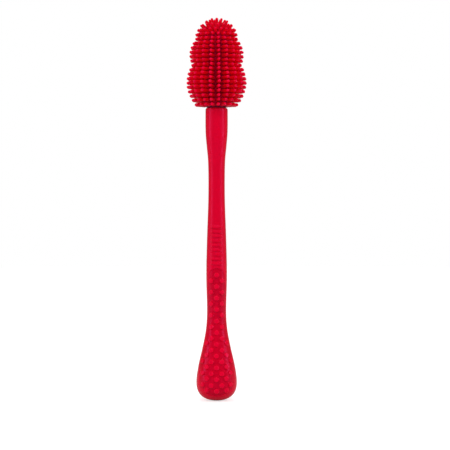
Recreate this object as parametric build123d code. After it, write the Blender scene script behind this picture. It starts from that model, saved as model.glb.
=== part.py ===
from build123d import *

import math
import os

# A soft bristle brush for scrubbing out hollow pet toys. It stands on its butt end:
# +Z runs up the long axis to the bristle head, the front faces -Y, and the origin is
# the lowest point of the butt, on the long axis. All sizes are in millimetres.

# ---- handle ----------------------------------------------------------------------
COLLAR_TOP = 136.1
COLLAR_ROUNDING = 0.9
BULB_HEIGHT = 8.5            # height of the widest section of the bulb
BULB_HALF_WIDTH = 9.46
BUTT_POWER = 2.4             # squareness of the rounded butt, 2 would be an ellipse
BULB_FLATNESS = 0.86         # depth over width at the bulb
ROUND_FROM = 41.0            # above this height every section is a circle
# Height and half width of the stem, from the bulb through waist, palm swell and slim
# shaft to the collar.
STEM = (
    (BULB_HEIGHT, BULB_HALF_WIDTH),
    (16.0, 8.55),
    (24.3, 6.67),
    (32.7, 5.06),
    (41.0, 4.47),
    (58.0, 4.82),
    (75.0, 4.47),
    (93.0, 3.86),
    (105.0, 3.80),
    (112.5, 4.02),
    (118.0, 4.55),
    (125.0, 5.10),
    (COLLAR_TOP, 5.14),
)
BUTT_SECTIONS = 6
SECTION_STEP = 4.5

# ---- thumb ribs on the front of the shaft ----------------------------------------
RIB_COUNT = 9
RIB_PITCH = 2.1
RIB_FIRST = 64.0
RIB_WIDTH = 5.2
RIB_THICKNESS = 1.1
RIB_RISE = 0.45
RIB_ROUNDING = 0.18

# ---- studded pads ----------------------------------------------------------------
PAD_THICKNESS = 0.9
PAD_WRAP = 68.0              # angle from the front at which the pad's sides end
PAD_LOWEST = 3.2
PAD_JOINT = 0.2              # open joint line round the pad
# Outline of the pad from its round arch down to the bulb: height, and half width of
# the pad over half width of the handle.
PAD_SIDES = (
    (58.1, 0.76),
    (53.0, 0.84),
    (47.0, 0.93),
    (38.0, 0.97),
    (27.0, 0.97),
    (17.0, 0.92),
    (BULB_HEIGHT, 0.815),
)
STUD_RADIUS = 1.22
STUD_RISE = 0.65
STUD_ROOT = 0.55             # how far a stud's foot reaches into its pad
STUD_ROUNDING = 0.32
STUD_FIRST = 5.33
STUD_PITCH = 5.34
# Sideways place of a column, number of studs, and how much its studs sit above the
# regular grid.
STUD_COLUMNS = ((0.0, 11, 0.0), (2.41, 10, 0.0), (4.5, 5, 0.4), (6.4, 3, 0.2))

# ---- stiff core ------------------------------------------------------------------
ROD_RADIUS = 2.3
ROD_BOTTOM = 24.0
BLADE_INSET = 3.6
BLADE_TOP = 36.0
BLADE_THICKNESS = 3.2
BLADE_WINDOWS = ((12.0, 2.3), (19.5, 1.7))   # height and radius
BOSS_RADIUS = 3.4
BOSS_FROM = 121.0
BOSS_TAPER = 3.0
NECK_RADIUS = 4.42
NECK_RISE = 0.7
MANDREL_RADIUS = 4.2
MANDREL_TOP = 167.0
GROOVE_DEPTH = 0.7
GROOVE_WIDTH = 2.2
GROOVE_FIRST = 6.0           # height of the lowest groove above the head's bottom
GROOVE_PITCH = 8.0
GROOVE_COUNT = 3

# ---- bristle head ----------------------------------------------------------------
TOTAL_LENGTH = 177.8
DOME_TIP_RADIUS = 10.15      # bristle tips over the dome lie on this sphere
DOME_CENTRE = TOTAL_LENGTH - DOME_TIP_RADIUS
HEAD_BOTTOM = COLLAR_TOP + NECK_RISE
HEAD_RADIUS = 6.65
HEAD_ROUNDING = 1.6
COLUMN_COUNT = 20
COLUMN_STEP = 360.0 / COLUMN_COUNT
FIRST_COLUMN = 5.5           # angle of the column nearest the front
RING_COUNT = 17
RING_PITCH = 2.02
TOP_RING = 169.8
BRISTLE_BASE_RADIUS = 0.83
BRISTLE_ROOT = 0.9           # how far a bristle's foot reaches into the body
# The lobes of the head: height of the fullest ring, greatest reach, how fast the
# reach falls away from it, and radius of the bristle tips.
LOBES = (
    (170.0, 9.95, 0.030, 0.58),
    (160.4, 12.75, 0.050, 0.65),
    (147.8, 14.10, 0.036, 0.72),
)
# Rings of bristles over the dome: angle from the top and number of bristles.
DOME_RINGS = ((63.6, 20), (48.0, 16), (31.0, 12), (15.5, 6), (0.0, 1))
DOME_BRISTLE_TIP = 0.58


def stem_half_width(height):
    """Smooth curve through the STEM stations."""
    last = len(STEM) - 1
    index = 0
    while index < last - 1 and height > STEM[index + 1][0]:
        index += 1

    def slope(at):
        if at in (0, last):
            return 0.0
        rise = STEM[at + 1][1] - STEM[at - 1][1]
        return rise / (STEM[at + 1][0] - STEM[at - 1][0])

    (low, start), (high, end) = STEM[index], STEM[index + 1]
    span = high - low
    t = (height - low) / span
    return (
        start * (1 + 2 * t) * (1 - t) ** 2
        + end * t * t * (3 - 2 * t)
        + span * slope(index) * t * (1 - t) ** 2
        - span * slope(index + 1) * t * t * (1 - t)
    )


def half_width(height, inset=0.0):
    """Half the handle's width at a height, measured inside a skin of thickness inset."""
    if height >= BULB_HEIGHT:
        return stem_half_width(height) - inset
    fall = (BULB_HEIGHT - height) / (BULB_HEIGHT - inset)
    return (BULB_HALF_WIDTH - inset) * (1 - min(fall, 1.0) ** BUTT_POWER) ** (1 / BUTT_POWER)


def flatness(height):
    """Depth of the section over its width, rising smoothly from the bulb to the round stem."""
    t = (height - BULB_HEIGHT) / (ROUND_FROM - BULB_HEIGHT)
    t = min(max(t, 0.0), 1.0)
    return BULB_FLATNESS + (1 - BULB_FLATNESS) * t * t * (3 - 2 * t)


def half_depth(height, inset=0.0):
    """Half the handle's depth at a height, measured inside a skin of thickness inset."""
    if height >= BULB_HEIGHT:
        return stem_half_width(height) * flatness(height) - inset
    share = (BULB_HALF_WIDTH * BULB_FLATNESS - inset) / (BULB_HALF_WIDTH - inset)
    return half_width(height, inset) * share


def section_heights(inset, top):
    """Heights of the sections: closely spaced round the butt, then evenly up the stem."""
    reach = BULB_HEIGHT - inset
    heights = []
    for step in range(1, BUTT_SECTIONS + 1):
        angle = math.radians(90.0 * step / BUTT_SECTIONS)
        heights.append(BULB_HEIGHT - reach * max(math.cos(angle), 0.0) ** (2 / BUTT_POWER))
    steps = math.ceil((top - BULB_HEIGHT) / SECTION_STEP)
    for step in range(1, steps + 1):
        heights.append(BULB_HEIGHT + (top - BULB_HEIGHT) * step / steps)
    return heights


def handle_form(inset=0.0, top=COLLAR_TOP):
    """Solid bounded by the handle's outer surface, drawn in by inset and cut off at top."""
    sections = [Vertex(0, 0, inset)]
    for height in section_heights(inset, top):
        ellipse = Ellipse(half_width(height, inset), half_depth(height, inset))
        sections.append(Pos(0, 0, height) * ellipse)
    return loft(sections)


def pad_outline(gap):
    """Arch-shaped face in the XZ plane, drawn in by gap: round arch above, rounded butt below."""
    right = []
    for height, share in PAD_SIDES:
        drawn_in = gap * math.sqrt(1 - share**2)
        right.append((share * half_width(height) - drawn_in, height))
    widest = right[-1][0]
    reach = BULB_HEIGHT - PAD_LOWEST - gap
    for angle in (30, 60):
        side = widest * math.cos(math.radians(angle))
        right.append((side, BULB_HEIGHT - reach * math.sin(math.radians(angle))))
    left = [(-x, z) for x, z in reversed(right)]
    side_curve = Spline(
        [Vector(x, 0, z) for x, z in (*right, (0, BULB_HEIGHT - reach), *left)],
        tangents=[Vector(0, 0, -1), Vector(0, 0, 1)],
    )
    arch_radius, arch_height = right[0]
    crown = Vector(0, 0, arch_height + arch_radius)
    arch = ThreePointArc(side_curve @ 1, crown, side_curve @ 0)
    return make_face(side_curve + arch)


def pad_wedge(gap):
    """Upright wedge from the long axis to the front, drawn in by gap, that ends the pad's sides."""
    wrap = math.radians(PAD_WRAP)
    reach = 2 * BULB_HALF_WIDTH
    apex = -gap / math.sin(wrap)
    side, front = reach * math.sin(wrap), apex - reach * math.cos(wrap)
    corners = ((0, apex), (side, front), (side, -reach), (-side, -reach), (-side, front))
    return extrude(make_face(Polyline(*corners, close=True)), amount=COLLAR_TOP)


def pad_blank(skin, gap):
    """Front part of the skin inside the pad's outline and wedge."""
    prism = extrude(pad_outline(gap), amount=2 * BULB_HALF_WIDTH, dir=(0, -1, 0))
    return skin & prism & pad_wedge(gap)


def stud():
    """One stud standing on the XY plane, with its foot below it."""
    body = Pos(0, 0, -STUD_ROOT) * Cylinder(
        STUD_RADIUS,
        STUD_ROOT + STUD_RISE,
        align=(Align.CENTER, Align.CENTER, Align.MIN),
    )
    return fillet(body.edges().sort_by(Axis.Z)[-1], STUD_ROUNDING)


def front_surface_plane(side, height):
    """Plane touching the front of the handle, sideways place and height given."""
    width, depth = half_width(height), half_depth(height)
    front = -depth * math.sqrt(1 - (side / width) ** 2)
    step = 0.05
    grow = (half_width(height + step) - half_width(height - step)) / (2 * step)
    normal = Vector(side / width**2, front / depth**2, -grow / width)
    return Plane(origin=(side, front, height), z_dir=normal)


def stud_places():
    """Sideways place and height of every stud, in staggered columns."""
    places = []
    for index, (side, count, lift) in enumerate(STUD_COLUMNS):
        first = STUD_FIRST + lift + (STUD_PITCH / 2 if index % 2 else 0.0)
        for row in range(count):
            for sign in (1, -1) if side else (1,):
                places.append((sign * side, first + row * STUD_PITCH))
    return places


def front_grip_pad(skin):
    """Soft inlay with staggered studs, open all round by the joint line."""
    studs = []
    for side, height in stud_places():
        studs.append(front_surface_plane(side, height).location * stud())
    return pad_blank(skin, PAD_JOINT).fuse(*studs)


def thumb_rib(height):
    """Pill-shaped rib across the front of the shaft, curved with its surface."""
    pill = Plane.XZ * Pos(0, height) * SlotOverall(RIB_WIDTH, RIB_THICKNESS)
    block = extrude(pill, amount=2 * BULB_HALF_WIDTH)
    crest = Pos(0, 0, height) * Cylinder(half_width(height) + RIB_RISE, 2 * RIB_THICKNESS)
    rib = block & crest
    return fillet(rib.faces().sort_by(Axis.Y)[0].edges(), RIB_ROUNDING)


def core_rod():
    """Stiff core: windowed blade in the bulb, rod, boss, neck disc and grooved mandrel."""
    blade = handle_form(BLADE_INSET, BLADE_TOP)
    blade &= Box(2 * BULB_HALF_WIDTH, BLADE_THICKNESS, 2 * BLADE_TOP)
    for height, radius in BLADE_WINDOWS:
        blade -= Pos(0, 0, height) * Rot(X=90) * Cylinder(radius, 2 * BLADE_THICKNESS)
    shoulder = MANDREL_TOP - MANDREL_RADIUS
    with BuildSketch(Plane.XZ) as half_section:
        with BuildLine():
            Polyline(
                (0, shoulder + MANDREL_RADIUS),
                (0, ROD_BOTTOM),
                (ROD_RADIUS, ROD_BOTTOM),
                (ROD_RADIUS, BOSS_FROM),
                (BOSS_RADIUS, BOSS_FROM + BOSS_TAPER),
                (BOSS_RADIUS, COLLAR_TOP),
                (NECK_RADIUS, COLLAR_TOP),
                (NECK_RADIUS, HEAD_BOTTOM),
                (MANDREL_RADIUS, HEAD_BOTTOM),
                (MANDREL_RADIUS, shoulder),
            )
            RadiusArc((MANDREL_RADIUS, shoulder), (0, MANDREL_TOP), -MANDREL_RADIUS)
        make_face()
    core = blade + revolve(half_section.sketch, Axis.Z)
    for index in range(GROOVE_COUNT):
        height = HEAD_BOTTOM + GROOVE_FIRST + GROOVE_PITCH * index
        ring = Cylinder(2 * MANDREL_RADIUS, GROOVE_WIDTH)
        ring -= Cylinder(MANDREL_RADIUS - GROOVE_DEPTH, GROOVE_WIDTH)
        core -= Pos(0, 0, height) * ring
    return core


def handle_grip(core, skin):
    """Soft overmoulded handle round the core, with thumb ribs and two pad recesses."""
    body = handle_form()
    body = fillet(body.edges().sort_by(Axis.Z)[-1], COLLAR_ROUNDING)
    body -= core
    recess = pad_blank(skin, 0.0)
    body -= recess
    body -= mirror(recess, about=Plane.XZ)
    ribs = [thumb_rib(RIB_FIRST + RIB_PITCH * index) for index in range(RIB_COUNT)]
    return body.fuse(*[rib - core for rib in ribs])


def bristle(start, end, tip_radius):
    """Tapered bristle with a round tip along +Z, from start to end."""
    length = end - start
    with BuildSketch(Plane.XZ) as half_section:
        with BuildLine():
            Polyline(
                (0, length),
                (0, 0),
                (BRISTLE_BASE_RADIUS, 0),
                (tip_radius, length - tip_radius),
            )
            RadiusArc((tip_radius, length - tip_radius), (0, length), -tip_radius)
        make_face()
    return Pos(0, 0, start) * revolve(half_section.sketch, Axis.Z)


def ring_reach(height):
    """How far a ring's bristle tips stand from the axis, and their radius."""
    reaches = []
    for centre, reach, fall, tip_radius in LOBES:
        reaches.append((reach - fall * (height - centre) ** 2, tip_radius))
    return max(reaches)


def side_bristles():
    """Rings of bristles that stand straight out from the axis, in straight columns."""
    bristles = []
    for ring in range(RING_COUNT):
        height = TOP_RING - RING_PITCH * ring
        rise = max(height - DOME_CENTRE, 0.0)
        body_radius = math.sqrt(HEAD_RADIUS**2 - rise**2)
        reach, tip_radius = ring_reach(height)
        pattern = bristle(body_radius - BRISTLE_ROOT, reach, tip_radius)
        for column in range(COLUMN_COUNT):
            turn = Rot(Z=FIRST_COLUMN + COLUMN_STEP * column)
            bristles.append(turn * Pos(0, 0, height) * Rot(X=90) * pattern)
    return bristles


def dome_bristles():
    """Bristles over the dome, pointing away from its centre."""
    bristles = []
    pattern = bristle(HEAD_RADIUS - BRISTLE_ROOT, DOME_TIP_RADIUS, DOME_BRISTLE_TIP)
    for index, (tilt, count) in enumerate(DOME_RINGS):
        for number in range(count):
            angle = FIRST_COLUMN + 360.0 * (number + 0.5 * (index % 2 == 0)) / count
            turn = Rot(Z=angle) * Rot(X=tilt)
            bristles.append(Pos(0, 0, DOME_CENTRE) * turn * pattern)
    return bristles


def head_body():
    """Domed sleeve under the bristles, rounded at its lower edge."""
    with BuildSketch(Plane.XZ) as half_section:
        with BuildLine():
            Line((0, DOME_CENTRE + HEAD_RADIUS), (0, HEAD_BOTTOM))
            Line((0, HEAD_BOTTOM), (HEAD_RADIUS - HEAD_ROUNDING, HEAD_BOTTOM))
            RadiusArc(
                (HEAD_RADIUS - HEAD_ROUNDING, HEAD_BOTTOM),
                (HEAD_RADIUS, HEAD_BOTTOM + HEAD_ROUNDING),
                -HEAD_ROUNDING,
            )
            Line((HEAD_RADIUS, HEAD_BOTTOM + HEAD_ROUNDING), (HEAD_RADIUS, DOME_CENTRE))
            RadiusArc((HEAD_RADIUS, DOME_CENTRE), (0, DOME_CENTRE + HEAD_RADIUS), -HEAD_RADIUS)
        make_face()
    return revolve(half_section.sketch, Axis.Z)


def bristle_head(core):
    """Silicone sleeve moulded over the mandrel, bristles and body in one piece."""
    sleeve = head_body() - core
    return sleeve.fuse(*side_bristles(), *dome_bristles())


def main():
    """Write one STEP file for each piece of the brush."""
    os.makedirs("parts", exist_ok=True)
    skin = handle_form() - handle_form(PAD_THICKNESS)
    core = core_rod()
    pad = front_grip_pad(skin)
    pieces = {
        "core_rod": core,
        "handle_grip": handle_grip(core, skin),
        "front_grip_pad": pad,
        "rear_grip_pad": mirror(pad, about=Plane.XZ),
        "bristle_head": bristle_head(core),
    }
    for name, piece in pieces.items():
        export_step(piece, f"parts/{name}.step")
        print(name, round(piece.volume, 1), "mm3")


main()
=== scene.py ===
import logging
import math
import random
from collections.abc import Callable, Sequence
from dataclasses import dataclass, field
from enum import Enum

import bmesh
import bpy
from mathutils import Matrix, Vector


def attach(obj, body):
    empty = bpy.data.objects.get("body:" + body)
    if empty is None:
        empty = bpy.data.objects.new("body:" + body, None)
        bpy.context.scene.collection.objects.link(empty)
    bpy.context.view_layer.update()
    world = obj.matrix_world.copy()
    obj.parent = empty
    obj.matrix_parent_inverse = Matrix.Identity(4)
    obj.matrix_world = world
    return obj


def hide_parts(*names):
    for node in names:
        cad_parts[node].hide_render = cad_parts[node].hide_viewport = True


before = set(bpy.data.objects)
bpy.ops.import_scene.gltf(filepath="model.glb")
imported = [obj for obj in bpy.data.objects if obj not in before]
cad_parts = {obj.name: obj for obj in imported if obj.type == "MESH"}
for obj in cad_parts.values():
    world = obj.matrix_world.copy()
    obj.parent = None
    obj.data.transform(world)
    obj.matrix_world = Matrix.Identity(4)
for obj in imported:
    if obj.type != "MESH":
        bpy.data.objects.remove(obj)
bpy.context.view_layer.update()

log = logging.getLogger("bristle_brush")

MM = 0.001
BODY = "root"
SEAM = 0.002 * MM            # vertices closer than this are one
CREASE = 40.0                # edges that turn by more degrees stay sharp
FINE_CREASE = 60.0           # the same for the bristles
QUARTER = 90.0               # degrees in a quarter turn
MIX_FIRST, MIX_SECOND, MIX_RESULT = 6, 7, 2     # colour sockets of the Mix node

Pair = tuple[float, float]
Triple = tuple[float, float, float]
Colour = Triple
Socket = bpy.types.NodeSocket
Node = bpy.types.Node
Tree = bpy.types.NodeTree
Piece = bpy.types.Object
BMesh = bmesh.types.BMesh
BMVert = bmesh.types.BMVert


class Slot(Enum):
    """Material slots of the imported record."""

    STIFF_CORE = "stiff_core"
    SOFT_HANDLE = "soft_handle"
    SOFT_PAD = "soft_pad"
    SILICONE_BRISTLES = "silicone_bristles"


class Side(Enum):
    """Sides of the handle that carry a studded pad, by the sign of Y."""

    FRONT = -1
    REAR = 1


class Cut(Enum):
    """What a boolean does with its second piece."""

    JOIN = "UNION"
    TAKE_AWAY = "DIFFERENCE"


# Mesh helpers


def smooth_step(share: float) -> float:
    """Return the smooth rise from 0 to 1 at a share of the way."""
    share = min(max(share, 0.0), 1.0)
    return share * share * (3.0 - 2.0 * share)


def smooth_curve(stations: Sequence[Pair], at: float) -> float:
    """Return the value at a place on the smooth curve through some stations.

    Args:
        stations: place and value of each station, in rising order of place.
        at: the place to look up.

    Returns:
        The value of a cubic curve that is level at both ends.
    """
    last = len(stations) - 1
    index = 0
    while index < last - 1 and at > stations[index + 1][0]:
        index += 1

    def slope(number: int) -> float:
        """Return the curve's slope at a station.

        Args:
            number: number of the station.

        Returns:
            The slope, 0 at both ends.
        """
        if number in (0, last):
            return 0.0
        (low, before), (high, after) = stations[number - 1], stations[number + 1]
        return (after - before) / (high - low)

    (low, start), (high, end) = stations[index], stations[index + 1]
    span = high - low
    t = (at - low) / span
    return (
        start * (1 + 2 * t) * (1 - t) ** 2
        + end * t * t * (3 - 2 * t)
        + span * slope(index) * t * (1 - t) ** 2
        - span * slope(index + 1) * t * t * (1 - t)
    )


def soften(mesh: bpy.types.Mesh, crease: float) -> None:
    """Shade a mesh smooth, except across its sharp edges.

    Args:
        mesh: the mesh to shade.
        crease: edges that turn by more than this many degrees stay sharp.
    """
    mesh.polygons.foreach_set("use_smooth", [True] * len(mesh.polygons))
    mesh.set_sharp_from_angle(angle=math.radians(crease))
    mesh.update()


def piece_from(bm: BMesh, name: str, crease: float = CREASE) -> Piece:
    """Turn a finished bmesh into a linked object with outward normals.

    Args:
        bm: the mesh that was edited, which is freed.
        name: name of the new object and of its mesh.
        crease: edges that turn by more than this many degrees stay sharp.

    Returns:
        The new object, at the origin.
    """
    bmesh.ops.recalc_face_normals(bm, faces=bm.faces)
    mesh = bpy.data.meshes.new(name)
    bm.to_mesh(mesh)
    bm.free()
    soften(mesh, crease)
    piece = bpy.data.objects.new(name, mesh)
    bpy.context.scene.collection.objects.link(piece)
    return piece


def drop(piece: Piece) -> None:
    """Remove an object together with its mesh.

    Args:
        piece: the object to remove.
    """
    mesh = piece.data
    bpy.data.objects.remove(piece)
    bpy.data.meshes.remove(mesh)


def combine(base: Piece, tool: Piece, cut: Cut, crease: float = CREASE) -> None:
    """Apply a boolean of two closed pieces to the first and remove the second.

    Args:
        base: the piece that is changed.
        tool: the piece that is joined to it or taken away from it.
        cut: what to do with the tool.
        crease: edges that turn by more than this many degrees stay sharp.
    """
    boolean = base.modifiers.new("cut", "BOOLEAN")
    boolean.operation = cut.value
    boolean.solver = "MANIFOLD"
    boolean.object = tool
    view = bpy.context.evaluated_depsgraph_get()
    made = bpy.data.meshes.new_from_object(base.evaluated_get(view))
    base.modifiers.clear()
    old = base.data
    base.data = made
    bpy.data.meshes.remove(old)
    made.name = base.name
    drop(tool)
    soften(made, crease)


def add_skin(
    bm: BMesh,
    around: int,
    along: int,
    place: Callable[[float, int], Vector],
    marks: dict[str, Callable[[int], float]] | None = None,
) -> list[BMVert]:
    """Add a closed skin: a grid rolled up into rings, its two end rings drawn into poles.

    Args:
        bm: the mesh to add to.
        around: faces round each ring.
        along: faces from the first pole to the last.
        place: gives the point at a turn in radians on a ring of a number.
        marks: named values to store on the vertices, from the ring's number.

    Returns:
        The vertices of the new skin.
    """
    grid = bmesh.ops.create_grid(bm, x_segments=around, y_segments=along, size=1.0)["verts"]
    layers = {name: bm.verts.layers.float.get(name) for name in marks or {}}
    for vertex in grid:
        turn = math.pi * (1.0 + vertex.co.x)
        ring = round((vertex.co.y + 1.0) / 2.0 * along)
        vertex.co = place(turn, ring)
        for name, layer in layers.items():
            vertex[layer] = marks[name](ring)
    bmesh.ops.remove_doubles(bm, verts=grid, dist=SEAM)
    return [vertex for vertex in grid if vertex.is_valid]


def add_turned(
    bm: BMesh,
    profile: list[Pair],
    sides: int,
    stand: Matrix,
    mark: str | None = None,
    values: list[float] | None = None,
) -> list[BMVert]:
    """Add a closed turned shape standing on a frame of its own.

    Args:
        bm: the mesh to add to.
        profile: radius and height of each ring, from one pole to the other.
        sides: faces round each ring.
        stand: placement whose Z is the axis of the shape.
        mark: name of a value stored on the vertices.
        values: the value on each ring.

    Returns:
        The vertices of the new shape.
    """

    def place(turn: float, ring: int) -> Vector:
        """Return the point of a ring at a turn."""
        radius, height = profile[ring]
        return stand @ Vector((radius * math.cos(turn), radius * math.sin(turn), height))

    marks = {mark: values.__getitem__} if mark else None
    return add_skin(bm, sides, len(profile) - 1, place, marks)


def standing(point: Vector, direction: Vector) -> Matrix:
    """Return a placement at a point with its Z along a direction."""
    return Matrix.Translation(point) @ direction.to_track_quat("Z", "Y").to_matrix().to_4x4()


def merged_copy(node: Piece, name: str) -> Piece:
    """Return a copy of a CAD node with its loose triangles merged into one skin.

    Args:
        node: the CAD node.
        name: name of the copy.

    Returns:
        The copy, at the origin.
    """
    bm = bmesh.new()
    bm.from_mesh(node.data)
    bmesh.ops.remove_doubles(bm, verts=bm.verts, dist=SEAM)
    return piece_from(bm, name)


def mirror_to(bm: BMesh, side: Side) -> None:
    """Mirror a mesh built on the front to the side it belongs to.

    Args:
        bm: the mesh.
        side: the side it belongs to.
    """
    if side is Side.REAR:
        bmesh.ops.scale(bm, verts=bm.verts, vec=(1.0, -1.0, 1.0))
        bmesh.ops.reverse_faces(bm, faces=bm.faces)


# Shared shader groups


@dataclass
class NodeSheet:
    """A node tree with short calls for adding and joining nodes."""

    tree: Tree

    def add(self, kind: str, **settings: object) -> Node:
        """Add a node of a kind with some of its settings.

        Args:
            kind: type of the node.
            settings: attributes to set on it.

        Returns:
            The new node.
        """
        node = self.tree.nodes.new(kind)
        for name, value in settings.items():
            setattr(node, name, value)
        return node

    def join(self, source: Socket, target: Socket) -> None:
        """Link one socket to another."""
        self.tree.links.new(source, target)

    def calc(self, operation: str, first: Socket, second: Socket | float = 0.0) -> Socket:
        """Add a maths node on one or two values and return its result.

        Args:
            operation: what to work out.
            first: socket of the first value.
            second: the second value or its socket.

        Returns:
            The result's socket.
        """
        node = self.add("ShaderNodeMath", operation=operation)
        self.join(first, node.inputs[0])
        if isinstance(second, Socket):
            self.join(second, node.inputs[1])
        else:
            node.inputs[1].default_value = second
        return node.outputs[0]

    def noise(self, vector: Socket, scale: Socket | float, detail: float = 2.0) -> Socket:
        """Add a noise texture and return its value.

        Args:
            vector: where the pattern is looked up.
            scale: fineness of the pattern or its socket.
            detail: number of finer layers.

        Returns:
            The noise's socket.
        """
        node = self.add("ShaderNodeTexNoise")
        node.inputs["Detail"].default_value = detail
        self.join(vector, node.inputs["Vector"])
        if isinstance(scale, Socket):
            self.join(scale, node.inputs["Scale"])
        else:
            node.inputs["Scale"].default_value = scale
        return node.outputs[0]

    def spread(
        self, value: Socket, low: float, high: float, start: float = 0.0, end: float = 1.0
    ) -> Socket:
        """Map the range low to high of a value smoothly to start to end.

        Args:
            value: socket of the value.
            low: value that becomes start.
            high: value that becomes end.
            start: result at the low value.
            end: result at the high value.

        Returns:
            The result's socket.
        """
        node = self.add("ShaderNodeMapRange", interpolation_type="SMOOTHSTEP")
        self.join(value, node.inputs["Value"])
        node.inputs["From Min"].default_value = low
        node.inputs["From Max"].default_value = high
        node.inputs["To Min"].default_value = start
        node.inputs["To Max"].default_value = end
        return node.outputs["Result"]

    def blend(self, share: Socket, first: Socket | Colour, second: Colour) -> Socket:
        """Mix a colour towards a second one by a share and return the result.

        Args:
            share: how far to go towards the second colour.
            first: the first colour or its socket.
            second: the second colour.

        Returns:
            The mixed colour's socket.
        """
        node = self.add("ShaderNodeMix", data_type="RGBA")
        self.join(share, node.inputs["Factor"])
        if isinstance(first, Socket):
            self.join(first, node.inputs[MIX_FIRST])
        else:
            node.inputs[MIX_FIRST].default_value = (*first, 1.0)
        node.inputs[MIX_SECOND].default_value = (*second, 1.0)
        return node.outputs[MIX_RESULT]

    def use(self, group: Tree, vector: Socket, **values: float) -> Socket:
        """Add a shared group fed with a vector and some values, and return its result.

        Args:
            group: the shared group.
            vector: socket fed to its vector.
            values: numbers for its other sockets.

        Returns:
            The group's result.
        """
        node = self.add("ShaderNodeGroup", node_tree=group)
        self.join(vector, node.inputs["Vector"])
        for name, value in values.items():
            node.inputs[name].default_value = value
        return node.outputs[0]


@dataclass
class EffectGroup:
    """A new shader group with a vector, some numbers going in and one value coming out."""

    name: str
    numbers: dict[str, float]
    result: str
    sheet: NodeSheet = field(init=False)
    given: Node = field(init=False)

    def __post_init__(self) -> None:
        """Make the group's sockets and its input node."""
        tree = bpy.data.node_groups.new(self.name, "ShaderNodeTree")
        tree.interface.new_socket(name="Vector", in_out="INPUT", socket_type="NodeSocketVector")
        for label, value in self.numbers.items():
            kind = "NodeSocketFloat"
            socket = tree.interface.new_socket(name=label, in_out="INPUT", socket_type=kind)
            socket.default_value = value
        tree.interface.new_socket(name=self.result, in_out="OUTPUT", socket_type="NodeSocketFloat")
        self.sheet = NodeSheet(tree)
        self.given = self.sheet.add("NodeGroupInput")

    def close(self, value: Socket) -> Tree:
        """Join the value to the group's output and return the group."""
        self.sheet.join(value, self.sheet.add("NodeGroupOutput").inputs[self.result])
        return self.sheet.tree


@dataclass
class SharedEffects:
    """Shader groups that several finishes use, each made once."""

    wave_share: float = 0.17
    speck_fineness: float = 16.0
    speck_weight: float = 0.5
    drift_range: Pair = (0.55, 0.95)
    edge_range: Pair = (0.505, 0.57)
    patch_scale: float = 700.0
    patch_range: Pair = (0.35, 0.7)
    patch_least: float = 0.4
    lint_scale: float = 650.0
    lint_radius: Pair = (0.05, 0.12)
    scarce_scale: float = 160.0
    scarce_range: Pair = (0.6, 0.68)
    grain: Tree = field(init=False)
    drift: Tree = field(init=False)
    rubbing: Tree = field(init=False)
    lint: Tree = field(init=False)

    def __post_init__(self) -> None:
        """Make the groups."""
        self.grain = self.mould_grain()
        self.drift = self.tone_drift()
        self.rubbing = self.rubbed_edges()
        self.lint = self.lint_specks()

    def mould_grain(self) -> Tree:
        """Return the group for the height of a mould's fine eroded grain.

        Returns:
            The new group.
        """
        group = EffectGroup("Mould grain", {"Fineness": 5000.0}, "Height")
        sheet, vector, fineness = group.sheet, *group.given.outputs[:2]
        fine = sheet.noise(vector, fineness)
        waves = sheet.noise(vector, sheet.calc("MULTIPLY", fineness, self.wave_share))
        return group.close(sheet.calc("ADD", fine, waves))

    def tone_drift(self) -> Tree:
        """Return the group for the slow, slightly speckled drift of a moulding's tone.

        Returns:
            The new group.
        """
        group = EffectGroup("Tone drift", {"Broad": 45.0}, "Share")
        sheet, vector, broad = group.sheet, *group.given.outputs[:2]
        slow = sheet.noise(vector, broad)
        fine = sheet.calc("MULTIPLY", broad, self.speck_fineness)
        specks = sheet.calc("MULTIPLY", sheet.noise(vector, fine), self.speck_weight)
        return group.close(sheet.spread(sheet.calc("ADD", slow, specks), *self.drift_range))

    def rubbed_edges(self) -> Tree:
        """Return the group for where raised edges have been rubbed.

        Returns:
            The new group.
        """
        group = EffectGroup("Rubbed edges", {"Reach": 0.6}, "Share")
        sheet, vector, reach = group.sheet, *group.given.outputs[:2]
        shape = sheet.add("ShaderNodeNewGeometry")
        raised = sheet.spread(shape.outputs["Pointiness"], *self.edge_range)
        patches = sheet.noise(vector, self.patch_scale)
        uneven = sheet.spread(patches, *self.patch_range, self.patch_least, 1.0)
        worn = sheet.calc("MULTIPLY", raised, uneven)
        return group.close(sheet.calc("MULTIPLY", worn, reach))

    def lint_specks(self) -> Tree:
        """Return the group for scarce fine specks of lint on soft rubber.

        Returns:
            The new group.
        """
        group = EffectGroup("Lint specks", {"Amount": 0.14}, "Share")
        sheet, vector, amount = group.sheet, *group.given.outputs[:2]
        cells = sheet.add("ShaderNodeTexVoronoi")
        cells.inputs["Scale"].default_value = self.lint_scale
        sheet.join(vector, cells.inputs["Vector"])
        dots = sheet.spread(cells.outputs["Distance"], *self.lint_radius, 1.0, 0.0)
        scarce = sheet.spread(sheet.noise(vector, self.scarce_scale), *self.scarce_range)
        specks = sheet.calc("MULTIPLY", dots, scarce)
        return group.close(sheet.calc("MULTIPLY", specks, amount))


# Finishes


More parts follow.
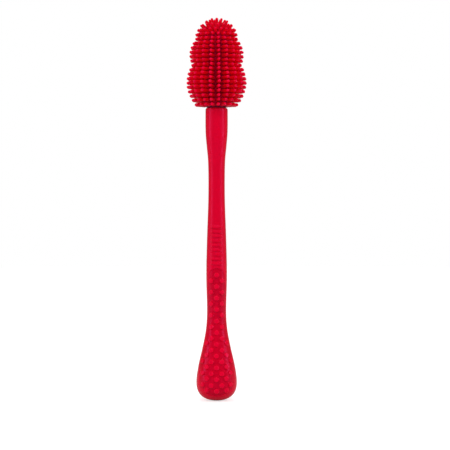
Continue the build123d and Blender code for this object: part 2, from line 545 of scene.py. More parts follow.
@dataclass(frozen=True)
class Finish:
    """A moulded finish: tone, gloss and grain, with drift of tone and rubbed edges."""

    name: str
    colour: Colour
    shade: Colour
    rubbed: Colour
    roughness: float
    grain_fineness: float
    grain_depth: float
    specular: float = 0.36
    gloss_tint: Colour = (1.0, 0.1, 0.65)
    drift_scale: float = 45.0
    edge_reach: float = 0.6
    matting: float = 0.08
    polish: float = 0.12
    lint: Colour = (0.75, 0.5, 0.5)

    def build(self, effects: SharedEffects) -> bpy.types.Material:
        """Return the material.

        Args:
            effects: the shader groups that finishes share.

        Returns:
            A new material with every varying property from nodes.
        """
        material = bpy.data.materials.new(self.name)
        material.use_nodes = True
        sheet = NodeSheet(material.node_tree)
        sheet.tree.nodes.clear()
        surface = sheet.add("ShaderNodeBsdfPrincipled")
        sheet.join(surface.outputs[0], sheet.add("ShaderNodeOutputMaterial").inputs["Surface"])
        surface.inputs["Specular IOR Level"].default_value = self.specular
        surface.inputs["Specular Tint"].default_value = (*self.gloss_tint, 1.0)
        place = sheet.add("ShaderNodeTexCoord").outputs["Object"]
        drift = sheet.use(effects.drift, place, Broad=self.drift_scale)
        rubbing = sheet.use(effects.rubbing, place, Reach=self.edge_reach)
        lint = sheet.use(effects.lint, place)
        toned = self.tone(sheet, sheet.blend(drift, self.colour, self.shade))
        worn = sheet.blend(rubbing, toned, self.rubbed)
        sheet.join(sheet.blend(lint, worn, self.lint), surface.inputs["Base Color"])
        matted = sheet.calc("MULTIPLY_ADD", drift, self.matting)
        matted.node.inputs[2].default_value = self.roughness
        gloss = sheet.calc("MULTIPLY", rubbing, self.polish)
        sheet.join(sheet.calc("SUBTRACT", matted, gloss), surface.inputs["Roughness"])
        height = sheet.use(effects.grain, place, Fineness=self.grain_fineness)
        bump = sheet.add("ShaderNodeBump")
        bump.inputs["Distance"].default_value = self.grain_depth
        sheet.join(height, bump.inputs["Height"])
        self.shape(sheet, place, bump)
        sheet.join(bump.outputs["Normal"], surface.inputs["Normal"])
        self.dress(surface)
        return material

    def tone(self, sheet: NodeSheet, toned: Socket) -> Socket:
        """Return the base colour after the finish's own changes to it."""
        return toned

    def shape(self, sheet: NodeSheet, place: Socket, bump: Node) -> None:
        """Add the finish's own relief under the grain."""

    def dress(self, surface: Node) -> None:
        """Set the shader's own constant sockets."""


@dataclass(frozen=True)
class SoftRubber(Finish):
    """Satin overmoulded rubber, with a faint parting line down the sides and painted light on
    raised studs, where asked.
    """

    rubbed: Colour = (0.97, 0.005, 0.035)
    roughness: float = 0.25
    grain_fineness: float = 5200.0
    grain_depth: float = 0.018 * MM
    parting_line: bool = False
    line_half_width: float = 0.1 * MM
    line_height: float = 0.02 * MM
    # Painted light: lighter colour on the studs' tops, so the pad floor between them stays darker
    # as painted shade.
    raised: Colour | None = None
    painted_light_range: Pair = (0.2, 0.9)

    def tone(self, sheet: NodeSheet, toned: Socket) -> Socket:
        """Return the base colour, with painted light on the parts that stand up and painted shade
        left on the floor between them.

        Args:
            sheet: the material's nodes.
            toned: the base colour so far.

        Returns:
            The base colour's socket.
        """
        if self.raised is None:
            return toned
        rise = sheet.add("ShaderNodeAttribute", attribute_name="rise").outputs["Fac"]
        return sheet.blend(sheet.spread(rise, *self.painted_light_range), toned, self.raised)

    def shape(self, sheet: NodeSheet, place: Socket, bump: Node) -> None:
        """Add the parting line where the mould's halves met, in the plane of the sides.

        Args:
            sheet: the material's nodes.
            place: the object's own coordinates.
            bump: the bump node of the grain.
        """
        if not self.parting_line:
            return
        split = sheet.add("ShaderNodeSeparateXYZ")
        sheet.join(place, split.inputs[0])
        away = sheet.calc("ABSOLUTE", split.outputs["Y"])
        line = sheet.add("ShaderNodeBump")
        line.inputs["Distance"].default_value = self.line_height
        sheet.join(sheet.spread(away, 0.0, self.line_half_width, 1.0, 0.0), line.inputs["Height"])
        sheet.join(line.outputs["Normal"], bump.inputs["Normal"])


@dataclass(frozen=True)
class SoftSilicone(Finish):
    """Slightly translucent silicone, with painted shade at the bristles' feet and a painted
    highlight at their tips.
    """

    # Painted shade: colour of the bristles' feet and of the sleeve between them.
    foot: Colour = (0.5, 0.0, 0.03)
    # Painted highlight: colour of the bristles' tips.
    tip: Colour = (1.0, 0.0, 0.055)
    foot_shade_range: Pair = (0.0, 0.6)
    tip_highlight_range: Pair = (0.78, 0.97)
    glow: float = 0.25
    glow_spread: Triple = (1.0, 0.08, 0.06)
    glow_reach: float = 0.5 * MM

    def tone(self, sheet: NodeSheet, toned: Socket) -> Socket:
        """Return the base colour with painted shade at the bristles' feet and a painted highlight
        at their tips.

        Args:
            sheet: the material's nodes.
            toned: the base colour so far.

        Returns:
            The base colour's socket.
        """
        reach = sheet.add("ShaderNodeAttribute", attribute_name="reach").outputs["Fac"]
        # Painted shade towards the feet, then a painted highlight towards the tips.
        foot_shaded = sheet.blend(sheet.spread(reach, *self.foot_shade_range, 1.0, 0.0), toned, self.foot)
        return sheet.blend(sheet.spread(reach, *self.tip_highlight_range), foot_shaded, self.tip)

    def dress(self, surface: Node) -> None:
        """Set the translucency of silicone.

        Args:
            surface: the shader.
        """
        surface.inputs["Subsurface Weight"].default_value = self.glow
        surface.inputs["Subsurface Radius"].default_value = self.glow_spread
        surface.inputs["Subsurface Scale"].default_value = self.glow_reach


# Shapes that pieces share


@dataclass(frozen=True)
class HandleForm:
    """Outer surface of the handle, from the rounded butt to the collar."""

    top: float = 136.1 * MM
    collar_rounding: float = 0.9 * MM
    bulb_height: float = 8.5 * MM
    bulb_half_width: float = 9.46 * MM
    butt_power: float = 2.4
    bulb_flatness: float = 0.86
    round_from: float = 41.0 * MM
    butt_rings: int = 22
    probe_height: float = 0.05 * MM
    probe_turn: float = 0.01
    stem_mm: tuple[Pair, ...] = (
        (8.5, 9.46),
        (16.0, 8.55),
        (24.3, 6.67),
        (32.7, 5.06),
        (41.0, 4.47),
        (58.0, 4.82),
        (75.0, 4.47),
        (93.0, 3.86),
        (105.0, 3.80),
        (112.5, 4.02),
        (118.0, 4.55),
        (125.0, 5.10),
        (136.1, 5.14),
    )

    def half_width(self, height: float) -> float:
        """Return half the handle's width at a height.

        Args:
            height: height above the butt.

        Returns:
            Half the width.
        """
        if height < self.bulb_height:
            fall = min((self.bulb_height - height) / self.bulb_height, 1.0)
            return self.bulb_half_width * (1.0 - fall**self.butt_power) ** (1.0 / self.butt_power)
        return smooth_curve(self.stem_mm, height / MM) * MM

    def flatness(self, height: float) -> float:
        """Return the section's depth over its width at a height."""
        rise = smooth_step((height - self.bulb_height) / (self.round_from - self.bulb_height))
        return self.bulb_flatness + (1.0 - self.bulb_flatness) * rise

    def point(self, turn: float, height: float) -> Vector:
        """Return the surface point at a height, turned from the front round the long axis.

        Args:
            turn: angle round from the front, in radians.
            height: height above the butt.

        Returns:
            The point.
        """
        width = self.half_width(height)
        depth = width * self.flatness(height)
        return Vector((width * math.sin(turn), -depth * math.cos(turn), height))

    def normal(self, turn: float, height: float) -> Vector:
        """Return the outward normal of the surface point at a turn and a height.

        Args:
            turn: angle round from the front, in radians.
            height: height above the butt.

        Returns:
            The normal, of length one.
        """
        rise, swing = self.probe_height, self.probe_turn
        up = self.point(turn, height + rise) - self.point(turn, height - rise)
        across = self.point(turn + swing, height) - self.point(turn - swing, height)
        return across.cross(up).normalized()

    def heights(self, step: float) -> list[float]:
        """Return ring heights from the butt's pole to the collar's rounding.

        Args:
            step: distance between rings up the stem.

        Returns:
            The heights, rising.
        """
        butt = []
        for number in range(self.butt_rings):
            angle = math.radians(QUARTER * number / self.butt_rings)
            share = math.cos(angle) ** (2.0 / self.butt_power)
            butt.append(self.bulb_height - self.bulb_height * share)
        span = self.top - self.collar_rounding - self.bulb_height
        count = round(span / step)
        return butt + [self.bulb_height + span * number / count for number in range(count + 1)]


@dataclass(frozen=True)
class PadOutline:
    """Outline of a studded pad: round arch above, full sides, rounded end on the butt."""

    form: HandleForm
    gap: float = 0.0
    lowest: float = 3.2 * MM
    wrap: float = math.radians(68.0)
    sides: tuple[Pair, ...] = (
        (8.5 * MM, 0.815),
        (17.0 * MM, 0.92),
        (27.0 * MM, 0.97),
        (38.0 * MM, 0.97),
        (47.0 * MM, 0.93),
        (53.0 * MM, 0.84),
        (58.1 * MM, 0.76),
    )
    end_rows: int = 14
    row_step: float = 1.1 * MM
    columns: int = 28

    def side(self, index: int) -> float:
        """Return half the pad's width at one of its stations."""
        height, share = self.sides[index]
        return share * self.form.half_width(height) - self.gap * math.sqrt(1.0 - share**2)

    @property
    def bottom_reach(self) -> float:
        """Return how far the pad runs down from its lowest station."""
        return self.sides[0][0] - self.lowest - self.gap

    def half_width(self, height: float) -> float:
        """Return half the pad's width at a height, seen from the front.

        Args:
            height: height above the butt.

        Returns:
            Half the width, 0 past the ends.
        """
        first, last = self.sides[0][0], self.sides[-1][0]
        if height >= last:
            return math.sqrt(max(self.side(-1) ** 2 - (height - last) ** 2, 0.0))
        if height <= first:
            fall = min((first - height) / self.bottom_reach, 1.0)
            return self.side(0) * math.sqrt(1.0 - fall**2)
        stations = [(at, self.side(index)) for index, (at, _) in enumerate(self.sides)]
        return smooth_curve(stations, height)

    def turn(self, height: float) -> float:
        """Return how far round from the front the pad reaches at a height.

        Args:
            height: height above the butt.

        Returns:
            The angle, in radians.
        """
        width = self.form.half_width(height)
        limit = math.atan(math.tan(self.wrap) * self.form.flatness(height)) - self.gap / width
        return min(math.asin(min(self.half_width(height) / width, 1.0)), limit)

    def heights(self) -> list[float]:
        """Return the heights of the pad's rows, close together round its two ends.

        Returns:
            The heights, rising.
        """
        first, last = self.sides[0][0], self.sides[-1][0]
        rows = self.end_rows
        quarter = [math.radians(QUARTER * number / rows) for number in range(rows + 1)]
        lower = [first - self.bottom_reach * math.cos(angle) for angle in quarter[:-1]]
        upper = [last + self.side(-1) * math.sin(angle) for angle in quarter]
        count = round((last - first) / self.row_step)
        middle = [first + (last - first) * number / count for number in range(count)]
        return lower + middle + upper

    def slab(self, bm: BMesh, outer: float, inner: float) -> list[bmesh.types.BMEdge]:
        """Add the closed slab between two levels over the handle's surface.

        Args:
            bm: the mesh to add to.
            outer: level of the outer face along the surface's normal.
            inner: level of the inner face.

        Returns:
            The edges round the outer face.
        """
        heights = self.heights()
        turn_layer = bm.verts.layers.float.new("turn")
        height_layer = bm.verts.layers.float.new("height")
        rows, across = len(heights) - 1, self.columns
        grid = bmesh.ops.create_grid(bm, x_segments=across, y_segments=rows, size=1.0)["verts"]
        for vertex in grid:
            height = heights[round((vertex.co.y + 1.0) / 2.0 * rows)]
            vertex[turn_layer] = vertex.co.x * self.turn(height)
            vertex[height_layer] = height
            vertex.co = self.level(vertex[turn_layer], height, outer)
        bmesh.ops.remove_doubles(bm, verts=grid, dist=SEAM)
        rim = [edge for edge in bm.edges if edge.is_boundary]
        grown = bmesh.ops.extrude_face_region(bm, geom=bm.faces[:], use_keep_orig=True)["geom"]
        for vertex in (item for item in grown if isinstance(item, BMVert)):
            vertex.co = self.level(vertex[turn_layer], vertex[height_layer], inner)
        return rim

    def level(self, turn: float, height: float, level: float) -> Vector:
        """Return the point a level above the handle's surface at a turn and a height."""
        return self.form.point(turn, height) + self.form.normal(turn, height) * level


# Pieces


@dataclass
class BrushPiece:
    """One piece of the brush: its CAD node, its material slot and its finish."""

    node: str
    slot: Slot
    finish: Finish

    def deliver(self, piece: Piece, effects: SharedEffects) -> None:
        """Dress a piece, put it in its CAD node's place and report it.

        Args:
            piece: the finished object.
            effects: the shader groups that finishes share.
        """
        piece.data.materials.clear()
        piece.data.materials.append(self.finish.build(effects))
        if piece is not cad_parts[self.node]:
            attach(piece, BODY)
            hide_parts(self.node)
        log.info("%s: %d faces, %s", piece.name, len(piece.data.polygons), self.finish.name)


@dataclass
class CoreRod(BrushPiece):
    """Stiff core, which shows only as the neck under the head, its dark colour standing in there
    as painted shade in the gap.
    """

    def build(self, effects: SharedEffects) -> None:
        """Dress the CAD node, which keeps its own shape."""
        self.deliver(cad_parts[self.node], effects)


@dataclass
class HandleGrip(BrushPiece):
    """Soft handle: bulb, waist, shaft, collar, thumb ribs and the two pad recesses."""

    form: HandleForm
    recess_depth: float = 0.9 * MM
    around: int = 112
    ring_step: float = 0.9 * MM
    rim_angles: tuple[float, ...] = (22.5, 45.0, 67.5, 90.0)
    rim_shares: tuple[float, ...] = (0.75, 0.5, 0.25, 0.0)
    rib_count: int = 9
    rib_pitch: float = 2.1 * MM
    rib_first: float = 64.0 * MM
    rib_half_length: float = 2.6 * MM
    rib_half_height: float = 0.55 * MM
    rib_rise: float = 0.45 * MM
    rib_squareness: float = 0.5
    rib_ends: float = 0.5
    rib_around: int = 24
    rib_along: int = 16

    def body(self) -> Piece:
        """Return the closed handle body with its rounded collar rim.

        Returns:
            The body, still without recesses and ribs.
        """
        heights = self.form.heights(self.ring_step)
        rim = [math.radians(angle) for angle in self.rim_angles]
        rounding = self.form.collar_rounding

        def place(turn: float, ring: int) -> Vector:
            """Return the point of a ring at a turn.

            Args:
                turn: angle round from the front, in radians.
                ring: number of the ring, from the butt.

            Returns:
                The point.
            """
            if ring < len(heights):
                return self.form.point(turn, heights[ring])
            over = ring - len(heights)
            radius = self.form.half_width(self.form.top)
            height = self.form.top
            if over < len(rim):
                radius -= rounding * (1.0 - math.cos(rim[over]))
                height -= rounding * (1.0 - math.sin(rim[over]))
            else:
                radius = (radius - rounding) * self.rim_shares[over - len(rim)]
            return Vector((radius * math.sin(turn), -radius * math.cos(turn), height))

        bm = bmesh.new()
        add_skin(bm, self.around, len(heights) + len(rim) + len(self.rim_shares) - 1, place)
        return piece_from(bm, "soft_handle")

    def recess(self, side: Side) -> Piece:
        """Return the shape that cuts a pad's recess into a side of the handle.

        Args:
            side: the side to cut.

        Returns:
            The closed cutter.
        """
        bm = bmesh.new()
        PadOutline(self.form).slab(bm, self.recess_depth, -self.recess_depth)
        mirror_to(bm, side)
        return piece_from(bm, "recess")

    def ribs(self) -> Piece:
        """Return the row of pill-shaped thumb ribs on the front of the shaft.

        Returns:
            The ribs as one mesh.
        """
        bm = bmesh.new()
        for number in range(self.rib_count):
            self.add_rib(bm, self.rib_first + self.rib_pitch * number)
        return piece_from(bm, "ribs")

    def add_rib(self, bm: BMesh, height: float) -> None:
        """Add one rib across the front, curved with the shaft's surface.

        Args:
            bm: the mesh to add to.
            height: height of the rib's middle.
        """
        surface = self.form.half_width(height)
        straight = self.rib_half_length - self.rib_half_height

        def place(turn: float, ring: int) -> Vector:
            """Return the point at a turn round the rib's section of a number.

            Args:
                turn: angle round the section, in radians.
                ring: number of the section.

            Returns:
                The point.
            """
            x = -self.rib_half_length * math.cos(math.pi * ring / self.rib_along)
            past = max(abs(x) - straight, 0.0)
            tall = math.sqrt(max(self.rib_half_height**2 - past**2, 0.0))
            upward, outward = (
                math.copysign(abs(part) ** self.rib_squareness, part)
                for part in (math.cos(turn), math.sin(turn))
            )
            swell = self.rib_rise * min(tall / (self.rib_ends * self.rib_half_height), 1.0)
            radius = surface + swell * outward
            y = -math.sqrt(radius**2 - x**2)
            return Vector((x, y, height + tall * upward))

        add_skin(bm, self.rib_around, self.rib_along, place)

    def build(self, effects: SharedEffects) -> None:
        """Build and dress the handle.

        Args:
            effects: the shader groups that finishes share.
        """
        piece = self.body()
        combine(piece, merged_copy(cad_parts["core_rod"], "core_shape"), Cut.TAKE_AWAY)
        for side in Side:
            combine(piece, self.recess(side), Cut.TAKE_AWAY)
        combine(piece, self.ribs(), Cut.JOIN)
        self.deliver(piece, effects)


@dataclass
class GripPad(BrushPiece):
    """Soft inlay with staggered round studs, a little smaller than its recess."""

    form: HandleForm
    side: Side
    thickness: float = 0.9 * MM
    joint: float = 0.2 * MM
    rim_rounding: float = 0.16 * MM
    rim_segments: int = 2
    stud_radius: float = 1.17 * MM
    stud_rise: float = 0.65 * MM
    stud_root: float = 0.5 * MM
    stud_rounding: float = 0.34 * MM
    stud_first: float = 5.33 * MM
    stud_pitch: float = 5.34 * MM
    stud_sides: int = 22
    # Extra radius and height of the rings of a stud's flared foot.
    stud_foot: tuple[Pair, ...] = (
        (0.11 * MM, -0.03 * MM),
        (0.03 * MM, 0.07 * MM),
        (0.0, 0.18 * MM),
    )
    stud_angles: tuple[float, ...] = (0.0, 22.5, 45.0, 67.5, 90.0)
    # Sideways place of a column, number of studs, and how far it sits above the grid.
    stud_columns: tuple[tuple[float, int, float], ...] = (
        (0.0, 11, 0.0),
        (2.41 * MM, 10, 0.0),
        (4.5 * MM, 5, 0.4 * MM),
        (6.4 * MM, 3, 0.2 * MM),
    )

    def stud_profile(self) -> list[Pair]:
        """Return radius and height of a stud's rings, with a flared foot and round shoulder.

        Returns:
            The rings, from the foot to the top.
        """
        shoulder = self.stud_rise - self.stud_rounding
        flat = self.stud_radius - self.stud_rounding
        rings = [
            (0.0, -self.stud_root),
            (self.stud_radius, -self.stud_root),
            *((self.stud_radius + extra, height) for extra, height in self.stud_foot),
        ]
        for angle in self.stud_angles:
            turn = math.radians(angle)
            radius = flat + self.stud_rounding * math.cos(turn)
            rings.append((radius, shoulder + self.stud_rounding * math.sin(turn)))
        return [*rings, (0.5 * flat, self.stud_rise), (0.0, self.stud_rise)]

    def stud_places(self) -> list[Pair]:
        """Return the sideways place and height of every stud.

        Returns:
            The places, column by column.
        """
        places = []
        for index, (aside, count, lift) in enumerate(self.stud_columns):
            first = self.stud_first + lift + (self.stud_pitch / 2.0 if index % 2 else 0.0)
            for row in range(count):
                for sign in (1.0, -1.0) if aside else (1.0,):
                    places.append((sign * aside, first + row * self.stud_pitch))
        return places

    def studs(self) -> Piece:
        """Return all the studs as one mesh.

        Returns:
            The studs, on the pad's side.
        """
        bm = bmesh.new()
        bm.verts.layers.float.new("rise")
        profile = self.stud_profile()
        # Rise runs from 0 at the floor to 1 at the stud's top and places the pad's painted light.
        values = [max(height, 0.0) / self.stud_rise for _, height in profile]
        for aside, height in self.stud_places():
            turn = math.asin(aside / self.form.half_width(height))
            stand = standing(self.form.point(turn, height), self.form.normal(turn, height))
            add_turned(bm, profile, self.stud_sides, stand, "rise", values)
        mirror_to(bm, self.side)
        return piece_from(bm, "studs")

    def plate(self) -> Piece:
        """Return the pad's plate with its rounded rim.

        Returns:
            The plate, on the pad's side.
        """
        bm = bmesh.new()
        rim = PadOutline(self.form, gap=self.joint).slab(bm, 0.0, -self.thickness)
        rounding = {"offset": self.rim_rounding, "segments": self.rim_segments, "profile": 0.5}
        bmesh.ops.bevel(bm, geom=rim, affect="EDGES", material=-1, clamp_overlap=True, **rounding)
        bm.verts.layers.float.new("rise")
        mirror_to(bm, self.side)
        return piece_from(bm, f"{self.side.name.lower()}_pad")

    def build(self, effects: SharedEffects) -> None:
        """Build and dress the pad.

        Args:
            effects: the shader groups that finishes share.
        """
        piece = self.plate()
        combine(piece, self.studs(), Cut.JOIN)
        self.deliver(piece, effects)


@dataclass
class BristleHead(BrushPiece):
    """Domed silicone sleeve with rings of bristles, moulded in one."""

    bottom: float = 136.8 * MM
    radius: float = 6.65 * MM
    rounding: float = 1.6 * MM
    dome_centre: float = 167.65 * MM
    dome_reach: float = 10.15 * MM
    dome_tip: float = 0.58 * MM
    first_column: float = 5.5
    columns: int = 20
    rings: int = 17
    ring_pitch: float = 2.02 * MM
    top_ring: float = 169.8 * MM
    foot_radius: float = 0.83 * MM
    foot_flare: float = 0.2 * MM
    flare_height: float = 0.02 * MM
    foot_height: float = 0.3 * MM
    root: float = 0.5 * MM
    # Height of a lobe's fullest ring, its reach, how fast that falls away, tip radius.
    lobes_mm: tuple[tuple[float, float, float, float], ...] = (
        (170.0, 9.95, 0.030, 0.58),
        (160.4, 12.75, 0.050, 0.65),
        (147.8, 14.10, 0.036, 0.72),
    )
    # Angle of a dome ring from the top and its number of bristles.
    dome_rings: tuple[tuple[float, int], ...] = (
        (63.6, 20),
        (48.0, 16),
        (31.0, 12),
        (15.5, 6),
        (0.0, 1),
    )
    sides: int = 9
    tip_angles: tuple[float, ...] = (0.0, 32.0, 62.0, 90.0)
    sleeve_sides: int = 80
    base_shares: tuple[float, ...] = (0.0, 0.3, 0.6)
    rounding_step: int = 15
    wall_rings: int = 24
    dome_step: int = 6
    length_spread: float = 0.12 * MM
    lean_spread: float = 0.5
    seed: int = 17

    def sleeve(self) -> Piece:
        """Return the domed sleeve, hollow round the core's mandrel.

        Returns:
            The sleeve, without its bristles.
        """
        profile = [(self.radius * share, self.bottom) for share in self.base_shares]
        for angle in range(-90, 1, self.rounding_step):
            turn = math.radians(angle)
            out = self.radius - self.rounding + self.rounding * math.cos(turn)
            profile.append((out, self.bottom + self.rounding * (1.0 + math.sin(turn))))
        straight = self.dome_centre - self.bottom - self.rounding
        for number in range(1, self.wall_rings):
            height = self.bottom + self.rounding + straight * number / self.wall_rings
            profile.append((self.radius, height))
        for angle in range(0, 91, self.dome_step):
            turn = math.radians(angle)
            height = self.dome_centre + self.radius * math.sin(turn)
            profile.append((self.radius * math.cos(turn), height))
        bm = bmesh.new()
        bm.verts.layers.float.new("reach")
        # Reach 0 gives the whole sleeve the bristles' painted foot shade.
        values = [0.0] * len(profile)
        add_turned(bm, profile, self.sleeve_sides, Matrix.Identity(4), "reach", values)
        piece = piece_from(bm, "bristle_sleeve")
        combine(piece, merged_copy(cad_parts["core_rod"], "core_shape"), Cut.TAKE_AWAY)
        return piece

    def ring_reach(self, height: float) -> Pair:
        """Return how far the tips of a ring at a height stand out, and their radius.

        Args:
            height: height above the butt.

        Returns:
            The reach and the radius of the tips.
        """
        reaches = []
        for centre, reach, fall, tip in self.lobes_mm:
            reaches.append((reach - fall * (height / MM - centre) ** 2, tip))
        reach, tip = max(reaches)
        return reach * MM, tip * MM

    def add_bristle(self, bm: BMesh, stand: Matrix, start: float, end: float, tip: float) -> None:
        """Add one tapered bristle with a flared foot and a round tip.

        Args:
            bm: the mesh to add to.
            stand: placement whose Z runs along the bristle.
            start: distance along it of the sleeve's surface.
            end: distance along it of the tip.
            tip: radius of the tip.
        """
        foot, shoulder = start - self.root, end - tip

        def cone(at: float) -> float:
            """Return the bristle's radius at a distance along it."""
            return self.foot_radius + (tip - self.foot_radius) * (at - foot) / (shoulder - foot)

        profile = [
            (0.0, foot),
            (self.foot_radius, foot),
            (cone(start) + self.foot_flare, start + self.flare_height),
            (cone(start), start + self.foot_height),
        ]
        for angle in self.tip_angles:
            turn = math.radians(angle)
            profile.append((tip * math.cos(turn), shoulder + tip * math.sin(turn)))
        profile[-1] = (0.0, end)
        # Reach runs from 0 at the sleeve to 1 at the tip and places the silicone's painted shade
        # and painted highlight.
        values = [max(height - start, 0.0) / (end - start) for _, height in profile]
        add_turned(bm, profile, self.sides, stand, "reach", values)

    def bristles(self) -> Piece:
        """Return all the bristles as one mesh.

        Returns:
            The bristles, unjoined.
        """
        chance = random.Random(self.seed)
        bm = bmesh.new()
        bm.verts.layers.float.new("reach")
        for ring in range(self.rings):
            height = self.top_ring - self.ring_pitch * ring
            rise = max(height - self.dome_centre, 0.0)
            start = math.sqrt(self.radius**2 - rise**2)
            end, tip = self.ring_reach(height)
            for column in range(self.columns):
                angle = self.first_column + 360.0 * column / self.columns
                centre, aim = Vector((0.0, 0.0, height)), (angle, QUARTER)
                self.place_bristle(bm, chance, centre, aim, (start, end, tip))
        centre = Vector((0.0, 0.0, self.dome_centre))
        sizes = (self.radius, self.dome_reach, self.dome_tip)
        for index, (tilt, count) in enumerate(self.dome_rings):
            for number in range(count):
                angle = self.first_column + 360.0 * (number + 0.5 * (index % 2 == 0)) / count
                self.place_bristle(bm, chance, centre, (angle, tilt), sizes)
        return piece_from(bm, "bristles", FINE_CREASE)

    def place_bristle(
        self,
        bm: BMesh,
        chance: random.Random,
        centre: Vector,
        aim: Pair,
        sizes: Triple,
    ) -> None:
        """Add one bristle with its own slight lean and length, except on the crown.

        Args:
            bm: the mesh to add to.
            chance: source of the small differences between bristles.
            centre: point on the long axis that the bristle points away from.
            aim: angle round the axis from the front and angle from the top, in degrees.
            sizes: distance of the sleeve's surface, distance of the tip, radius of the tip.
        """
        start, end, tip = sizes
        round_axis = math.radians(aim[0] + chance.uniform(-self.lean_spread, self.lean_spread))
        from_top = math.radians(aim[1])
        shorter = 0.0
        if aim[1]:
            from_top += math.radians(chance.uniform(-self.lean_spread, self.lean_spread))
            shorter = chance.uniform(0.0, self.length_spread)
        flat, up = math.sin(from_top), math.cos(from_top)
        direction = Vector((flat * math.sin(round_axis), -flat * math.cos(round_axis), up))
        self.add_bristle(bm, standing(centre, direction), start, end - shorter, tip)

    def build(self, effects: SharedEffects) -> None:
        """Build and dress the head.

        Args:
            effects: the shader groups that finishes share.
        """
        piece = self.sleeve()
        combine(piece, self.bristles(), Cut.JOIN, FINE_CREASE)
        piece.name = "bristle_brush_head"
        self.deliver(piece, effects)


# Studio


@dataclass(frozen=True)
class Softbox:
    """A rectangular lamp aimed at a point."""

    name: str
    place: Triple
    target: Triple
    width: float
    height: float
    power: float

    def build(self) -> Piece:
        """Add the lamp and return it.

        Returns:
            The lamp's object.
        """
        lamp = bpy.data.lights.new(self.name, "AREA")
        lamp.shape = "RECTANGLE"
        lamp.size, lamp.size_y = self.width, self.height
        lamp.energy = self.power
        holder = bpy.data.objects.new(self.name, lamp)
        holder.location = self.place
        aim = Vector(self.target) - Vector(self.place)
        holder.rotation_euler = aim.to_track_quat("-Z", "Y").to_euler()
        bpy.context.scene.collection.objects.link(holder)
        return holder


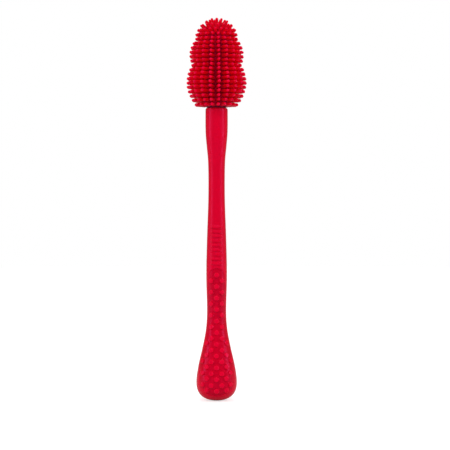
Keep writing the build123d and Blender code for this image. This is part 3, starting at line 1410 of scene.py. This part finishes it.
@dataclass(frozen=True)
class Studio:
    """White table-top studio: pale floor, strip, accent, top and fill lamps, and camera."""

    camera_place: Triple = (3.9 * MM, -0.600, 0.100)
    camera_target: Triple = (3.9 * MM, 0.0, 0.08178)
    camera_lens: float = 103.27
    floor_radius: float = 1.0
    camera_clip: Pair = (0.01, 50.0)
    floor_segments: int = 96
    floor_glow: float = 0.64
    floor_roughness: float = 0.9
    floor_specular: float = 0.1
    floor_tones: tuple[Colour, Colour] = ((0.66, 0.66, 0.66), (0.62, 0.62, 0.62))
    mottle_scale: float = 3.0
    mottle_range: Pair = (0.3, 0.7)
    ambient: float = 0.36
    mirrored: float = 0.12
    lamp_distance: float = 0.8
    strip_target: Triple = (0.0, 0.0, 0.405)
    strip_angle: float = 72.0
    strip_width: float = 0.12
    strip_height: float = 0.9
    strip_power: float = 1.8
    accent_target: Triple = (0.0, 0.0, 0.025)
    accent_angle: float = 46.0
    accent_rise: float = 25.0
    accent_width: float = 0.04
    accent_height: float = 0.3
    accent_power: float = 0.3
    top_place: Triple = (0.0, 0.3, 1.2)
    top_target: Triple = (0.0, 0.3, 0.0)
    top_size: float = 3.0
    top_power: float = 7.0
    fill_distance: float = 1.0
    fill_height: float = 1.0
    fill_target: Triple = (0.0, 0.0, 0.09)
    fill_size: float = 0.8
    front_fill_power: float = 4.0
    rear_fill_power: float = 2.6

    def add_floor(self) -> None:
        """Add the round pale floor, which can be seen through from below."""
        bm = bmesh.new()
        sides, radius = self.floor_segments, self.floor_radius
        bmesh.ops.create_circle(bm, cap_ends=True, segments=sides, radius=radius)
        floor = piece_from(bm, "floor")
        material = bpy.data.materials.new("pale floor")
        material.use_nodes = True
        sheet = NodeSheet(material.node_tree)
        surface = material.node_tree.nodes["Principled BSDF"]
        surface.inputs["Roughness"].default_value = self.floor_roughness
        surface.inputs["Specular IOR Level"].default_value = self.floor_specular
        surface.inputs["Emission Color"].default_value = (1.0, 1.0, 1.0, 1.0)
        seen = sheet.add("ShaderNodeLightPath").outputs["Is Camera Ray"]
        glow = sheet.calc("MULTIPLY", seen, self.floor_glow)
        sheet.join(glow, surface.inputs["Emission Strength"])
        through = sheet.add("ShaderNodeMixShader")
        sheet.join(sheet.add("ShaderNodeNewGeometry").outputs["Backfacing"], through.inputs[0])
        sheet.join(surface.outputs[0], through.inputs[1])
        sheet.join(sheet.add("ShaderNodeBsdfTransparent").outputs[0], through.inputs[2])
        output = material.node_tree.nodes["Material Output"]
        sheet.join(through.outputs[0], output.inputs["Surface"])
        place = sheet.add("ShaderNodeTexCoord").outputs["Object"]
        mottle = sheet.spread(sheet.noise(place, self.mottle_scale), *self.mottle_range)
        sheet.join(sheet.blend(mottle, *self.floor_tones), surface.inputs["Base Color"])
        floor.data.materials.append(material)

    def around(self, angle: float, rise: float, target: Triple) -> Triple:
        """Return the place of a lamp at the usual distance from its target.

        Args:
            angle: angle from the front round the long axis, in degrees.
            rise: angle above the level of the target, in degrees.
            target: the point that the lamp is aimed at.

        Returns:
            The lamp's place.
        """
        turn, lift = math.radians(angle), math.radians(rise)
        flat, up = self.lamp_distance * math.cos(lift), self.lamp_distance * math.sin(lift)
        x, y, z = target
        return (x + flat * math.sin(turn), y - flat * math.cos(turn), z + up)

    def add_lamps(self) -> None:
        """Add the strip and accent lamps on both sides, the top lamp and the high fills."""
        for name, sign in (("left", -1.0), ("right", 1.0)):
            place = self.around(sign * self.strip_angle, 0.0, self.strip_target)
            size = (self.strip_width, self.strip_height)
            Softbox(f"{name} strip", place, self.strip_target, *size, self.strip_power).build()
            place = self.around(sign * self.accent_angle, self.accent_rise, self.accent_target)
            size = (self.accent_width, self.accent_height)
            Softbox(f"{name} accent", place, self.accent_target, *size, self.accent_power).build()
        size = (self.top_size, self.top_size)
        Softbox("top lamp", self.top_place, self.top_target, *size, self.top_power).build()
        size = (self.fill_size, self.fill_size)
        for name, sign, power in (
            ("front fill", -1.0, self.front_fill_power),
            ("rear fill", 1.0, self.rear_fill_power),
        ):
            place = (0.0, sign * self.fill_distance, self.fill_height)
            Softbox(name, place, self.fill_target, *size, power).build()

    def add_sky(self) -> None:
        """Add the even surroundings: white where seen, dimmer as a light, dimmest mirrored."""
        world = bpy.data.worlds.new("white surroundings")
        world.use_nodes = True
        background = world.node_tree.nodes["Background"]
        background.inputs["Color"].default_value = (1.0, 1.0, 1.0, 1.0)
        sheet = NodeSheet(world.node_tree)
        rays = sheet.add("ShaderNodeLightPath")
        dimming = self.mirrored - self.ambient
        light = sheet.calc("MULTIPLY_ADD", rays.outputs["Is Glossy Ray"], dimming)
        light.node.inputs[2].default_value = self.ambient
        strength = sheet.calc("MAXIMUM", rays.outputs["Is Camera Ray"], light)
        sheet.join(strength, background.inputs["Strength"])
        bpy.context.scene.world = world

    def add_camera(self) -> None:
        """Add the camera and make it the scene's."""
        camera = bpy.data.cameras.new("camera")
        camera.lens = self.camera_lens
        camera.clip_start, camera.clip_end = self.camera_clip
        holder = bpy.data.objects.new("camera", camera)
        holder.location = self.camera_place
        aim = Vector(self.camera_target) - Vector(self.camera_place)
        holder.rotation_euler = aim.to_track_quat("-Z", "Y").to_euler()
        bpy.context.scene.collection.objects.link(holder)
        bpy.context.scene.camera = holder

    def build(self) -> None:
        """Build the studio."""
        self.add_floor()
        self.add_lamps()
        self.add_sky()
        self.add_camera()
        bpy.context.scene.view_settings.view_transform = "Standard"


def main() -> None:
    """Build the brush piece by piece, then the studio."""
    logging.basicConfig(level=logging.INFO, format="%(name)s: %(message)s")
    effects = SharedEffects()
    form = HandleForm()
    # Dark red nylon for the core; its darkness also stands in as painted shade in the gap under
    # the head, where the neck shows.
    nylon = Finish(
        name="dark red nylon and painted neck shade",
        colour=(0.10, 0.006, 0.012),
        shade=(0.075, 0.004, 0.009),
        rubbed=(0.2, 0.02, 0.03),
        roughness=0.42,
        grain_fineness=4200.0,
        grain_depth=0.02 * MM,
    )
    handle_rubber = SoftRubber(
        name="crimson handle rubber",
        colour=(0.88, 0.0, 0.024),
        shade=(0.80, 0.0, 0.019),
        parting_line=True,
    )
    pad_rubber = SoftRubber(
        name="crimson pad rubber",
        colour=(0.74, 0.0, 0.018),
        shade=(0.66, 0.0, 0.014),
        # Painted light on the studs' tops.
        raised=(0.93, 0.0, 0.026),
    )
    silicone = SoftSilicone(
        name="bright red silicone",
        colour=(0.82, 0.0, 0.003),
        shade=(0.72, 0.0, 0.003),
        rubbed=(0.98, 0.003, 0.03),
        roughness=0.3,
        grain_fineness=6000.0,
        grain_depth=0.004 * MM,
        specular=0.2,
    )
    CoreRod("core_rod", Slot.STIFF_CORE, nylon).build(effects)
    HandleGrip("handle_grip", Slot.SOFT_HANDLE, handle_rubber, form).build(effects)
    GripPad("front_grip_pad", Slot.SOFT_PAD, pad_rubber, form, Side.FRONT).build(effects)
    GripPad("rear_grip_pad", Slot.SOFT_PAD, pad_rubber, form, Side.REAR).build(effects)
    BristleHead("bristle_head", Slot.SILICONE_BRISTLES, silicone).build(effects)
    Studio().build()


if __name__ == "__main__":
    main()
